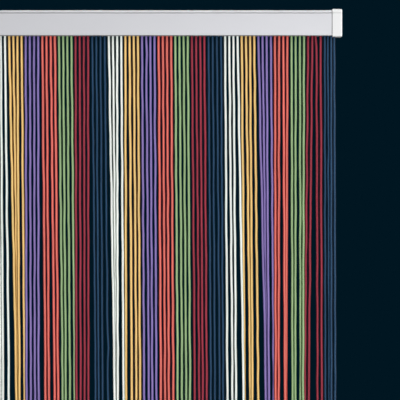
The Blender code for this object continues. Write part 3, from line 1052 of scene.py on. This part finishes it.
def cap_mesh(name, side, settings):
    """A cap: the block, hollowed for the rail, with a notch below for the last
    cord, a groove in line with the rail's, and a spigot in its chamber."""
    low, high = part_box("end_cap_right")
    front, outer = low.y, side * high.x
    mouth = side * low.x - side * CUT_MARGIN
    plate = outer - side * settings.wall
    hollow_top = RAIL_TOP + SEAT_GAP
    notch_end = side * (cord_top_places()[-1] + CORD_DIAMETER / 2 + NOTCH_MARGIN)
    groove_end = outer - side * settings.rounding
    spigot_end = plate - side * SPIGOT_LENGTH
    spigot_root = plate + side * settings.wall / 2
    blocks = {
        "hollow": ((mouth, front + settings.skirt, -hollow_top), (plate, CUT_MARGIN, hollow_top)),
        "notch": ((mouth, SLOT_FRONT, low.z - CUT_MARGIN), (notch_end, SLOT_BACK, -RAIL_TOP)),
        "groove": (
            (mouth, front - CUT_MARGIN, GROOVE_FOOT),
            (groove_end, front + CAP_GROOVE_DEPTH, GROOVE_TOP),
        ),
        "spigot": (
            (spigot_end, CHAMBER_FRONT + SEAT_GAP, STRIP_TOP + SEAT_GAP),
            (spigot_root, -RAIL_WALL - SEAT_GAP, CHAMBER_TOP - SEAT_GAP),
        ),
    }
    helpers = [
        ("UNION" if part == "spigot" else "DIFFERENCE", block_mesh(f"{part}_{name}", *ends))
        for part, ends in blocks.items()
    ]
    return with_modifiers(name, cap_block(name, side, settings), helpers, settings.edge_radius)


# Stage


Softbox = namedtuple("Softbox", "name place aim width height watts")
SOFTBOXES = (
    Softbox("front", (1.3, -3.3, -0.9), (0.2, 0, -0.8), 1.6, 1.0, 97),
    Softbox("key", (0.7, -2.2, 2.6), (0, 0, -0.6), 1.8, 1.6, 60),
    Softbox("top", (0, -0.6, 2.6), (0, 0, 0), 2.0, 1.6, 14),
    Softbox("fill", (-2.2, -3.2, -0.2), (0, 0, -0.9), 2.0, 2.0, 10),
    Softbox("side", (3.4, 0.2, 0.2), (0.4, 0, -0.9), 1.2, 2.0, 85),
    Softbox("back", (0.3, 3.2, 1.9), (0, 0, -0.9), 2.6, 1.8, 160),
)


def add_floor(settings):
    """A flat round floor about the point below the curtain, in rings at the
    squares of even steps. It fades into the surroundings further out."""
    steps, sides, innermost = 24, 64, 0.02
    radius = np.linspace(innermost, 1, steps)[:, None, None] ** 2 * settings.floor_radius
    rings = radius * circle(sides) + (0, 0, CAD_LOW.z - settings.floor_drop)
    walls, ends = tube_faces(steps, sides)
    mesh = mesh_of("floor", rings.reshape(-1, 3), [walls, ends[:1]])
    material, tree, shader = new_material("studio_floor")
    mapping = {"Vector": object_place(tree), "Scale": (1, 1, 0)}
    flat = add_node(tree, "ShaderNodeMapping", mapping).outputs["Vector"]
    length = add_node(tree, "ShaderNodeVectorMath", {0: flat}, operation="LENGTH")
    reach = length.outputs["Value"]
    near = ramp_between(tree, reach, settings.floor_radius, settings.pale_radius)
    alpha = maths(tree, "MULTIPLY", near, near)
    fill(shader, {"Base Color": (*settings.floor, 1.0), "Alpha": alpha})
    fill(shader, {"Roughness": 0.9, "Specular IOR Level": 0.0})
    mesh.materials.append(material)
    floor = add_object("floor", mesh)


def add_softbox(box, strength):
    light = bpy.data.lights.new(box.name, "AREA")
    light.shape = "RECTANGLE"
    light.size = box.width
    light.size_y = box.height
    light.energy = box.watts * strength
    lamp = add_object(box.name, light)
    lamp.location = box.place
    way = Vector(box.aim) - Vector(box.place)
    lamp.rotation_euler = way.to_track_quat("-Z", "Y").to_euler()
    lamp.visible_camera = False


def add_surround(settings):
    world = bpy.data.worlds.new("surround")
    world.use_nodes = True
    fill(world.node_tree.nodes["Background"], {"Color": (*settings.surround, 1.0)})
    bpy.context.scene.world = world


def add_camera(settings):
    """Straight on, level with the photographed part of the curtain. The lens
    is the sensor's width times the distance over the width taken in."""
    data = bpy.data.cameras.new("camera")
    camera = add_object("camera", data)
    camera.location = (PICTURE_MIDDLE[0], -settings.camera_distance, PICTURE_MIDDLE[1])
    camera.rotation_euler = (np.pi / 2, 0, 0)
    away = settings.camera_distance + CORD_Y
    data.lens = data.sensor_width * away / settings.picture_width
    data.clip_start = 0.02
    bpy.context.scene.camera = camera


# Operators


class CURTAIN_OT_cords(bpy.types.Operator):
    """Builds the bands of cords, each with its short heading strip"""

    bl_idname = "curtain.cords"
    bl_label = "Cords"
    bl_options = {"REGISTER", "UNDO"}

    def execute(self, context):
        settings = context.scene.curtain_cords
        lines = cord_lines(settings)
        random = np.random.default_rng(SEED + 3)
        down = STRIP_BOTTOM - lines[:, 0, 2]
        girths = 1 + settings.girth_change * short_waves(down, GIRTH_WAVES, random)
        tones = settings.tone_change * random.uniform(-1, 1, (BANDS, CORDS_PER_BAND))
        materials = {name: cord_material(name, settings) for name in BAND_COLOURS}
        for band in range(BANDS):
            colour = BAND_COLOURS[band % len(BAND_COLOURS)]
            name = f"{band + 1:02d}_{colour}"
            surfaces = band_surfaces(band, lines, girths, settings)
            mesh = band_mesh("band_" + name, surfaces, [*tones[band], 0.0])
            material = materials[colour]
            add_piece("band_" + name, mesh, material, "cords_" + name)
        return {"FINISHED"}


class CURTAIN_OT_rail(bpy.types.Operator):
    """Builds the anodised rail with its bead, groove, slot and keyholes"""

    bl_idname = "curtain.rail"
    bl_label = "Rail"
    bl_options = {"REGISTER", "UNDO"}

    def execute(self, context):
        settings = context.scene.curtain_rail
        outline = rounded_outline(rail_corners(settings), ARC_STEPS)
        mesh = prism("rail_section", outline, 0, RAIL_HIGH.x, RAIL_LOW.x)
        keyholes = [
            ("DIFFERENCE", keyhole_mesh(f"keyhole_{word}", side * KEYHOLE_OFFSET))
            for side, word in RAIL_ENDS
        ]
        mesh = with_modifiers("rail_section", mesh, keyholes)
        material = rail_material(settings)
        add_piece("rail_profile", mesh, material, "rail")
        return {"FINISHED"}


class CURTAIN_OT_caps(bpy.types.Operator):
    """Builds the two moulded end caps"""

    bl_idname = "curtain.caps"
    bl_label = "End Caps"
    bl_options = {"REGISTER", "UNDO"}

    def execute(self, context):
        settings = context.scene.curtain_caps
        material = cap_material(settings)
        for side, word in RAIL_ENDS:
            mesh = cap_mesh(f"cap_{word}", side, settings)
            add_piece(f"cap_{word}", mesh, material, f"end_cap_{word}")
        return {"FINISHED"}


class CURTAIN_OT_stage(bpy.types.Operator):
    """Builds the floor, the softboxes, the surroundings and the camera"""

    bl_idname = "curtain.stage"
    bl_label = "Stage"
    bl_options = {"REGISTER", "UNDO"}

    def execute(self, context):
        settings = context.scene.curtain_stage
        add_floor(settings)
        for box in SOFTBOXES:
            add_softbox(box, settings.light)
        add_surround(settings)
        add_camera(settings)
        context.scene.view_settings.view_transform = "Standard"
        return {"FINISHED"}


class VIEW3D_PT_curtain(bpy.types.Panel):
    """Lists the settings and the steps that build the curtain."""

    bl_label = "String Curtain"
    bl_space_type = "VIEW_3D"
    bl_region_type = "UI"
    bl_category = "Curtain"

    def draw(self, context):
        for group, operator in zip(GROUPS, OPERATORS):
            settings = getattr(context.scene, group)
            box = self.layout.box()
            for name in settings.bl_rna.properties.keys():
                if name not in {"rna_type", "name"}:
                    box.prop(settings, name)
            box.operator(operator.bl_idname)


GROUPS = {
    "curtain_cords": CURTAIN_PG_cords,
    "curtain_rail": CURTAIN_PG_rail,
    "curtain_caps": CURTAIN_PG_caps,
    "curtain_stage": CURTAIN_PG_stage,
}
OPERATORS = (CURTAIN_OT_cords, CURTAIN_OT_rail, CURTAIN_OT_caps, CURTAIN_OT_stage)
CLASSES = (*GROUPS.values(), *OPERATORS, VIEW3D_PT_curtain)


def register():
    for cls in CLASSES:
        bpy.utils.register_class(cls)
    for name, group in GROUPS.items():
        setattr(bpy.types.Scene, name, PointerProperty(type=group))


def unregister():
    for name in GROUPS:
        delattr(bpy.types.Scene, name)
    for cls in reversed(CLASSES):
        bpy.utils.unregister_class(cls)


def main():
    register()
    bpy.ops.curtain.cords()
    bpy.ops.curtain.rail()
    bpy.ops.curtain.caps()
    bpy.ops.curtain.stage()


if __name__ == "__main__":
    main()
